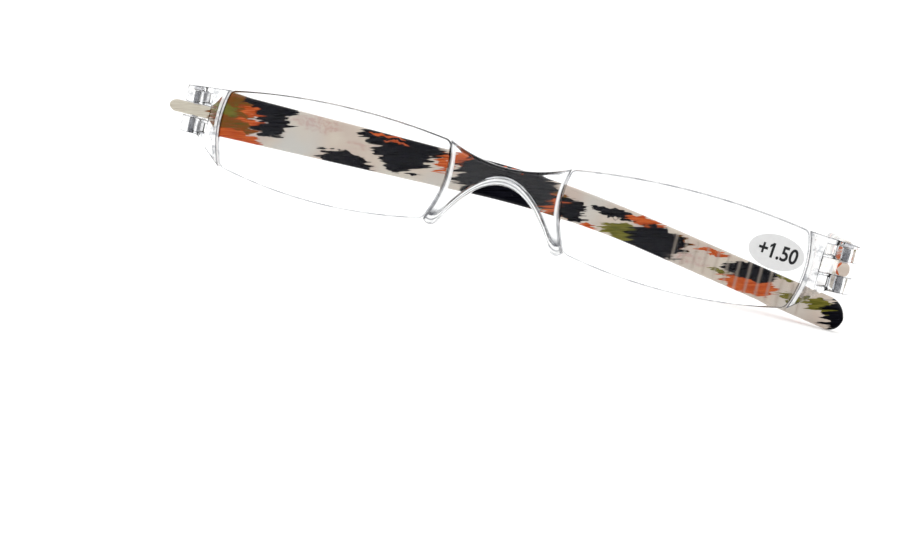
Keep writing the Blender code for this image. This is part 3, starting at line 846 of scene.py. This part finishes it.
def endpiece_plan():
    """Seen from above: back from the lens to an ear round the hinge axis."""
    start, edge = LENS_OUTER - LENS_OUTER_SLANT, LENS_OUTER + LENS_OUTER_SAG
    ear_front = HINGE_SETBACK - EAR_RADIUS
    neck = HINGE_X - SLOT_DEPTH
    temple_face = HINGE_SETBACK - TEMPLE_THICKNESS / 2 - TEMPLE_GAP
    front = [
        Vector((start, wrap(start))),
        Vector((edge, wrap(edge) + ENDPIECE_BOW / 2)),
        Vector(((start + HINGE_X) / 2, (wrap(start) + ear_front) / 2 - ENDPIECE_BOW)),
        Vector((HINGE_X - EAR_RADIUS, ear_front - ENDPIECE_BOW)),
    ]
    ear = []
    for i in range(EAR_STEPS + 1):
        turn = EAR_SWEEP * i / EAR_STEPS - math.pi / 2
        middle = Vector((HINGE_X, HINGE_SETBACK))
        ear.append(middle + EAR_RADIUS * Vector((math.cos(turn), math.sin(turn))))
    back = [
        Vector((neck + 4 * NECK_STEP, temple_face)),
        Vector((neck, temple_face - NECK_STEP)),
        Vector((start, wrap(start) + ENDPIECE_THICKNESS)),
    ]
    return front + ear + back


def endpiece_face():
    """Seen from the front: the lens's outer edge, the ears, and a slanting lower edge."""
    edge = [lens_outer_edge(1 - i / EDGE_STEPS, BOND_GAP) for i in range(EDGE_STEPS + 1)]
    ear_end = HINGE_X + EAR_RADIUS + BOND_GAP
    ear_low, ear_high = HINGE_HEIGHT - EAR_TOP, HINGE_HEIGHT + EAR_TOP
    ears = [
        Vector((HINGE_X - WINDOW_OFFSET + WINDOW_WIDTH / 2, ear_low)),
        Vector((ear_end, ear_low)),
        Vector((ear_end, ear_high)),
    ]
    return edge + ears


def narrow(face, corners):
    """Whether a face is a strip no wider than a fillet's."""
    ends = [corners[i].co for i in face.vertices]
    longest = max((a - b).length for a, b in zip(ends, ends[1:] + ends[:1]))
    return face.area < NARROW_SHARE * ENDPIECE_FILLET * longest


def in_window(face):
    """Whether a face is a wall of one of an endpiece's windows."""
    x = abs(abs(face.center.x) - HINGE_X + WINDOW_OFFSET)
    z = abs(abs(face.center.z - HINGE_HEIGHT) - (SLOT_HEIGHT + EAR_HEIGHT) / 2)
    inside = x < WINDOW_WIDTH / 2 + EDGE_SLACK and z < WINDOW_HEIGHT / 2 + EDGE_SLACK
    return inside and abs(face.normal.y) < WALL_TILT


def make_endpiece(side, material):
    """The hinge end of the front: two ears with a slot, a screw hole and a window in each."""
    sign = SIGNS[side]
    plan = [(sign * p.x, p.y) for p in endpiece_plan()]
    face = [(sign * p.x, p.y) for p in endpiece_face()]
    made = piece(side + "_endpiece_polished", *prism(plan, -PAST, LENS_HEIGHT + PAST), FRONT)
    combine(made, *prism(face, -PAST, HINGE_SETBACK + PAST, upright=False), FRONT, "INTERSECT")
    axis = Matrix.Translation(HINGES[side])
    half = SLOT_HEIGHT / 2
    ends = sorted((-sign * SLOT_DEPTH, sign * PAST))
    combine(made, *block((ends[0], -PAST, -half), (ends[1], PAST, half)), axis)
    combine(made, *turned(SCREW_RADIUS + RUN_GAP, -PAST, PAST), axis)
    seat_floor = EAR_TOP - SCREW_HEAD_HEIGHT - RUN_GAP
    combine(made, *turned(SCREW_HEAD_RADIUS + RUN_GAP, seat_floor, PAST), axis)
    for way in (-1, 1):
        level = way * (SLOT_HEIGHT + EAR_HEIGHT) / 2
        middle = -sign * WINDOW_OFFSET
        low = (middle - WINDOW_WIDTH / 2, -PAST, level - WINDOW_HEIGHT / 2)
        high = (middle + WINDOW_WIDTH / 2, PAST, level + WINDOW_HEIGHT / 2)
        combine(made, *block(low, high), axis)
    settle(made)
    bevel(made, ENDPIECE_FILLET)
    settle(made)
    corners = made.data.vertices
    # Narrow fillet faces and window walls get painted dark shade
    mark_painted_shade(made, lambda face: narrow(face, corners) or in_window(face))
    finish_shape(made, material, 30, "front", "clear_acrylic", side + "_endpiece")


# ---------------------------------------------------------------- screws and label


def make_screw(side, material):
    """A slotted head on a threaded shank with a small point."""
    under_head = EAR_TOP - SCREW_HEAD_HEIGHT
    shank = round((under_head + EAR_TOP) / (THREAD_PITCH / THREAD_STEPS))
    rings = []
    for step in range(shank + 1):
        level = -EAR_TOP + (under_head + EAR_TOP) * step / shank
        ends = min(1, (level + EAR_TOP) / SCREW_POINT, (under_head - level) / THREAD_RUNOUT)
        ring = []
        for i in range(ROUND_STEPS):
            turn = 2 * math.pi * i / ROUND_STEPS
            phase = (level / THREAD_PITCH - i / ROUND_STEPS) % 1
            crest = 1 - abs(2 * phase - 1)
            radius = SCREW_RADIUS - THREAD_DEPTH * (1 - crest) * ends
            if level < -EAR_TOP + SCREW_POINT:
                radius = min(radius, SCREW_RADIUS - SCREW_POINT + (level + EAR_TOP))
            ring.append((radius * math.cos(turn), radius * math.sin(turn), level))
        rings.append(ring)
    head = (
        (SCREW_HEAD_RADIUS, under_head + HEAD_RISE),
        (SCREW_HEAD_RADIUS, EAR_TOP - SCREW_HEAD_CHAMFER),
        (SCREW_HEAD_RADIUS - SCREW_HEAD_EDGE, EAR_TOP - SCREW_HEAD_EDGE),
        (SCREW_HEAD_RADIUS - SCREW_HEAD_CHAMFER, EAR_TOP),
    )
    for radius, level in head:
        turns = [2 * math.pi * i / ROUND_STEPS for i in range(ROUND_STEPS)]
        rings.append([(radius * math.cos(t), radius * math.sin(t), level) for t in turns])
    axis = Matrix.Translation(HINGES[side])
    made = piece(side + "_hinge_screw_threaded", *loft(rings), axis)
    floor = EAR_TOP - SCREW_SLOT
    groove = block((-PAST, -SCREW_SLOT / 2, floor), (PAST, SCREW_SLOT / 2, PAST))
    combine(made, *groove, axis)
    settle(made)
    finish_shape(made, material, 30, "front", "screw_steel", side + "_hinge_screw")


def label_front(x, z):
    return lens_front(x, z) - LABEL_GAP - LABEL_THICKNESS


def add_flag(work):
    """Gives the plain bar of the numeral one its short slanting flag."""
    bar = [v.co for v in work.verts if ONE_SPAN[0] < v.co.x / NUMERAL_SIZE < ONE_SPAN[1]]
    left, top = min(co.x for co in bar), max(co.y for co in bar)
    flag = [(left + x * NUMERAL_SIZE, top + y * NUMERAL_SIZE) for x, y in ONE_FLAG]
    levels = (-NUMERAL_DEPTH / 2, NUMERAL_DEPTH / 2)
    rings = [[work.verts.new((x, y, z)) for x, y in flag] for z in levels]
    for i in range(len(flag)):
        j = (i + 1) % len(flag)
        work.faces.new((rings[0][i], rings[0][j], rings[1][j], rings[1][i]))
    work.faces.new(rings[0][::-1])
    work.faces.new(rings[1])
    bmesh.ops.recalc_face_normals(work, faces=work.faces)


def make_label(film, ink):
    """The oval film on the right lens's front, and its raised numerals."""
    middle = Vector((LENS_OUTER - LABEL_INSET, LENS_LEVEL + LABEL_RISE))
    tilt = Matrix.Rotation(LABEL_TILT, 2)
    turns = [2 * math.pi * i / (4 * EDGE_STEPS) for i in range(4 * EDGE_STEPS)]
    outline = [
        middle + tilt @ Vector((LABEL_WIDTH / 2 * math.cos(t), LABEL_HEIGHT / 2 * math.sin(t)))
        for t in turns
    ]
    points, faces = pillow(
        outline,
        middle,
        label_front,
        lambda x, z: lens_front(x, z) - LABEL_GAP,
        LABEL_FILLET,
        LABEL_RINGS,
    )
    made = piece("power_label_film", points, faces, FRONT)
    finish_shape(made, film, 30, "front", "label", "power_label")

    letters = bpy.data.curves.new("numerals", "FONT")
    letters.body = NUMERALS
    letters.size = NUMERAL_SIZE
    letters.offset = NUMERAL_WEIGHT * NUMERAL_SIZE
    letters.align_x = "CENTER"
    letters.align_y = "CENTER"
    letters.extrude = NUMERAL_DEPTH / 2
    made = bpy.data.objects.new("power_numerals", letters)
    bpy.context.scene.collection.objects.link(made)
    bpy.context.view_layer.update()
    graph = bpy.context.evaluated_depsgraph_get()
    mesh = bpy.data.meshes.new_from_object(made.evaluated_get(graph))
    bpy.data.objects.remove(made)
    squeeze = NUMERALS_WIDTH / (max(v.co.x for v in mesh.vertices) * 2)
    work = bmesh.new()
    work.from_mesh(mesh)
    bmesh.ops.remove_doubles(work, verts=work.verts, dist=WELD)
    add_flag(work)
    work.to_mesh(mesh)
    work.free()
    for v in mesh.vertices:
        flat = Vector((v.co.x * squeeze + NUMERALS_SHIFT, v.co.y * NUMERALS_STRETCH))
        x, z = middle + tilt @ flat
        v.co = Vector((x, label_front(x, z) - v.co.z - NUMERAL_DEPTH / 2, z))
    mesh.update()
    made = bpy.data.objects.new("power_numerals", mesh)
    bpy.context.scene.collection.objects.link(made)
    made.matrix_world = FRONT
    finish_shape(made, ink, 30, "front", "label")


# ---------------------------------------------------------------- temples


def temple_middle(reach):
    """Height of the band's middle over the slot's, at a distance from the hinge axis."""
    bent = max(0, min(reach, BEND_END) - BEND_START)
    drop = bent**2 / (2 * (BEND_END - BEND_START)) + max(0, reach - BEND_END)
    return TEMPLE_ROOT_RISE - BEND_SLOPE * drop


def rib_inset(side, reach):
    """How deep the grip grooves are cut into the inner face at a distance from the hinge."""
    if not RIB_STARTS[side] < reach < RIB_END:
        return 0.0
    along = (RIB_END - reach) % RIB_PITCH
    away = abs(along - RIB_PITCH / 2) / (RIB_GROOVE / 2)
    return RIB_DEPTH * smooth(1 - away)


def temple_section(side, reach):
    """A rounded rectangle, whose inner side, local -Y on the left and +Y on the right, is grooved."""
    share = max(0, reach) / TEMPLE_LENGTH
    taper = min(1, max(0, reach) / TAPER_END)
    band = smooth((reach - LUG_ROOT) / SHOULDER_LENGTH)
    full = (TEMPLE_ROOT_HEIGHT + (TEMPLE_TIP_HEIGHT - TEMPLE_ROOT_HEIGHT) * taper) / 2
    half = LUG_HEIGHT / 2 + (full - LUG_HEIGHT / 2) * band
    middle = temple_middle(reach) * band
    thick = (TEMPLE_THICKNESS + (TEMPLE_TIP_THICKNESS - TEMPLE_THICKNESS) * share) / 2
    for over, radius in (
        (reach - (TEMPLE_LENGTH - TEMPLE_TIP_HEIGHT / 2), TEMPLE_TIP_HEIGHT / 2),
        (-reach - (LUG_REACH - LUG_HEIGHT / 2), LUG_HEIGHT / 2),
    ):
        if over > 0:
            half *= math.sqrt(max(0, 1 - (over / radius) ** 2))
    radius = min(TEMPLE_EDGE_RADIUS, EDGE_SHARE * half, EDGE_SHARE * thick)
    ring = []
    for corner in range(4):
        across = 1 if corner in (0, 3) else -1
        up = 1 if corner < 2 else -1
        reached = thick - (rib_inset(side, reach) if across == SIGNS[side] else 0)
        for i in range(CORNER_STEPS):
            turn = math.pi / 2 * (corner + i / (CORNER_STEPS - 1))
            ring.append(
                (
                    reach,
                    across * (reached - radius) + radius * math.cos(turn),
                    middle + up * (half - radius) + radius * math.sin(turn),
                )
            )
    return ring


def temple_reaches():
    """Distances of the sections, closer at both ends, along the shoulder and along the grooves."""
    start = min(RIB_STARTS.values())
    lug_radius, tip_radius = LUG_HEIGHT / 2, TEMPLE_TIP_HEIGHT / 2
    ends = [math.pi / 2 * (i + TIP_START) / TIP_STEPS for i in range(TIP_STEPS)]
    reaches = [-LUG_REACH + lug_radius * (1 - math.sin(t)) for t in reversed(ends)]
    plain = -LUG_REACH + lug_radius + TEMPLE_STEP
    while plain < start:
        reaches.append(plain)
        plain += TEMPLE_STEP / 3 if LUG_ROOT < plain < LUG_ROOT + SHOULDER_LENGTH else TEMPLE_STEP
    ribs = round((RIB_END - start) / RIB_PITCH * RIB_STEPS)
    reaches += [start + (RIB_END - start) * i / ribs for i in range(ribs + 1)]
    plain = RIB_END + TEMPLE_STEP
    while plain < TEMPLE_LENGTH - tip_radius - TEMPLE_STEP / 2:
        reaches.append(plain)
        plain += TEMPLE_STEP
    return reaches + [TEMPLE_LENGTH - tip_radius * (1 - math.sin(t)) for t in ends]


def lay_print(mesh, side):
    """Maps the film: along and up on the inner side, and back along on the outer side."""
    inner = SIGNS[side]
    layer = mesh.uv_layers.new(name="print")
    for face in mesh.polygons:
        inside = face.center.y * inner > 0
        for corner in face.loop_indices:
            at = mesh.vertices[mesh.loops[corner].vertex_index].co
            reach, height = at.x, at.z
            if not inside:
                reach = TEMPLE_LENGTH - at.x
                height += temple_middle(reach) - temple_middle(at.x)
            layer.data[corner].uv = (reach / MM, height / MM)
    groove = mesh.attributes.new("groove", "FLOAT", "POINT")
    for point, share in zip(mesh.vertices, groove.data):
        inside = point.co.y * inner > 0
        share.value = rib_inset(side, point.co.x) / RIB_DEPTH if inside else 0.0


def make_temple(side, material):
    """A printed temple along local +X, turned to its rest pose."""
    place = Matrix.Translation(HINGES[side]) @ Matrix.Rotation(TEMPLE_TURNS[side], 4, "Z")
    rings = [temple_section(side, reach) for reach in temple_reaches()]
    made = piece(side + "_temple_printed", *loft(rings), place)
    combine(made, *turned(SCREW_RADIUS + RUN_GAP, -PAST, PAST), place)
    settle(made)
    lay_print(made.data, side)
    finish_shape(made, material, 40, side + "_temple", "printed_plastic", side + "_temple")


# ---------------------------------------------------------------- studio


def make_world():
    """A white dome with a dark patch in front of the glasses, crossed by a low white strip.

    The patch draws the edges of the clear pieces, and the camera itself doesn't see it.
    """
    world = bpy.data.worlds.new("studio")
    world.use_nodes = True
    bpy.context.scene.world = world
    tree = world.node_tree
    way = node(tree, "TexCoord")
    heart = (0, -math.cos(DARK_TILT), math.sin(DARK_TILT))
    toward = node(tree, "VectorMath", {0: way, 1: heart}, output=1, operation="DOT_PRODUCT")
    dark = ramp(tree, toward, math.cos(DARK_END), math.cos(DARK_CORE))
    level = node(tree, "SeparateXYZ", {0: way}, output=2)
    over_foot = ramp(tree, level, *STRIP_FOOT)
    under_head = ramp(tree, level, *STRIP_HEAD, 1.0, 0.0)
    strip = maths(tree, "MULTIPLY", over_foot, under_head)
    dark = maths(tree, "MULTIPLY", dark, maths(tree, "SUBTRACT", 1.0, strip))
    unseen = maths(tree, "SUBTRACT", 1.0, node(tree, "LightPath"))
    dark = maths(tree, "MULTIPLY", dark, unseen)
    light = mixed(tree, dark, DOME_LIGHT, DOME_DARK)
    background = tree.nodes["Background"]
    tree.links.new(light, background.inputs["Color"])
    background.inputs["Strength"].default_value = DOME_STRENGTH


def make_lamp(name, place, power):
    """A square soft box aimed at the glasses."""
    lamp = bpy.data.lights.new(name, "AREA")
    lamp.size = LAMP_SIZE
    lamp.energy = power
    made = bpy.data.objects.new(name, lamp)
    bpy.context.scene.collection.objects.link(made)
    way = Vector(LAMP_TARGET) - Vector(place)
    aim = way.to_track_quat("-Z", "Y").to_matrix().to_4x4()
    made.matrix_world = Matrix.Translation(place) @ aim


def make_floor():
    """A pale matt floor just under the glasses, which isn't mirrored in them."""
    made, tree, shader = finish("floor", IOR=1.0)
    place = node(tree, "TexCoord", output=3)
    cloud = noise(tree, place, 6.0, 2.0)
    tree.links.new(mixed(tree, cloud, *FLOOR_TONES), shader.inputs["Base Color"])
    tree.links.new(ramp(tree, cloud, 0.3, 0.7, 0.06, 0.1), shader.inputs["Roughness"])
    ways = ((-1, -1), (1, -1), (1, 1), (-1, 1))
    corners = [(x * FLOOR_REACH, y * FLOOR_REACH, FLOOR_LEVEL) for x, y in ways]
    floor = piece("floor", corners, [(0, 1, 2, 3)])
    floor.data.materials.append(made)
    floor.visible_glossy = False


def make_camera():
    lens = bpy.data.cameras.new("camera")
    lens.lens = CAMERA_LENS
    lens.clip_start = CAMERA_NEAR
    camera = bpy.data.objects.new("camera", lens)
    bpy.context.scene.collection.objects.link(camera)
    turn = (
        Matrix.Rotation(CAMERA_PAN, 4, "Z")
        @ Matrix.Rotation(math.pi / 2 - CAMERA_DIP, 4, "X")
        @ Matrix.Rotation(CAMERA_ROLL, 4, "Z")
    )
    camera.matrix_world = Matrix.Translation(CAMERA_PLACE) @ turn
    bpy.context.scene.camera = camera


def main():
    scene = bpy.context.scene
    scene.view_settings.view_transform = "Standard"
    scene.cycles.max_bounces = BOUNCES
    scene.cycles.transmission_bounces = BOUNCES
    scene.cycles.caustics_refractive = False
    make_camera()
    make_world()
    make_floor()
    for name, (place, power) in LAMPS.items():
        make_lamp(name, place, power)

    lens = clear_finish("lens_acrylic", (0.975, 0.985, 0.985, 1), 0.08, bonded=False)
    clear = clear_finish("clear_acrylic", (0.95, 0.965, 0.965, 1), 0.6)
    cloud = (0.42, 0.43, 0.45, 1)
    clouded = clear_finish("clouded_acrylic", (0.9, 0.91, 0.91, 1), 1.0, cloud=cloud)
    steel = steel_finish()
    make_bridge(clear)
    prints = {"left": LEFT_PRINT, "right": RIGHT_PRINT}
    for seed, side in enumerate(("left", "right")):
        make_lens(side, lens)
        make_endpiece(side, clouded)
        make_screw(side, steel)
        make_temple(side, printed_finish(side + "_print", prints[side], PRINT_APART * seed))
    make_label(label_finish(), ink_finish())


main()
